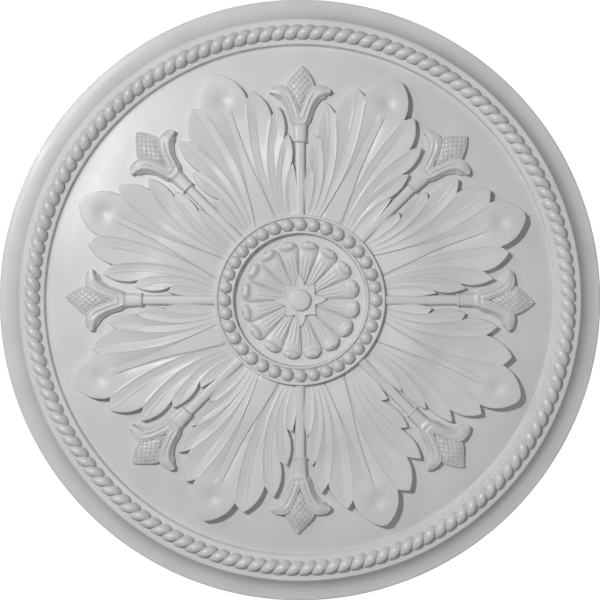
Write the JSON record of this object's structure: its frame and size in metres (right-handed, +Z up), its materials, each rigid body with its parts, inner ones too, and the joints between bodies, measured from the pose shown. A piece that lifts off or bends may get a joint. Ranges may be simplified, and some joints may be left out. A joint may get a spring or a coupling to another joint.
{
  "type": "ceiling rose",
  "caption": "Round moulded ceiling rose with a flat back, stepped rope-edged rim, carved leaves with buds between them, and a beaded centre rosette.",
  "frame": {"origin": "centre of the flat back, on the plane that meets the ceiling", "axes": "+Z points up into the ceiling, the carved face looks down along -Z, +X points to the right of the pictured face and -Y to its top"},
  "size_m": [0.66, 0.66, 0.0433],
  "materials": {
    "primed_moulding": "white factory primer, semi-matte"
  },
  "bodies": {
    "root": {"ceiling_rose": "primed_moulding"}
  },
  "joints": []
}
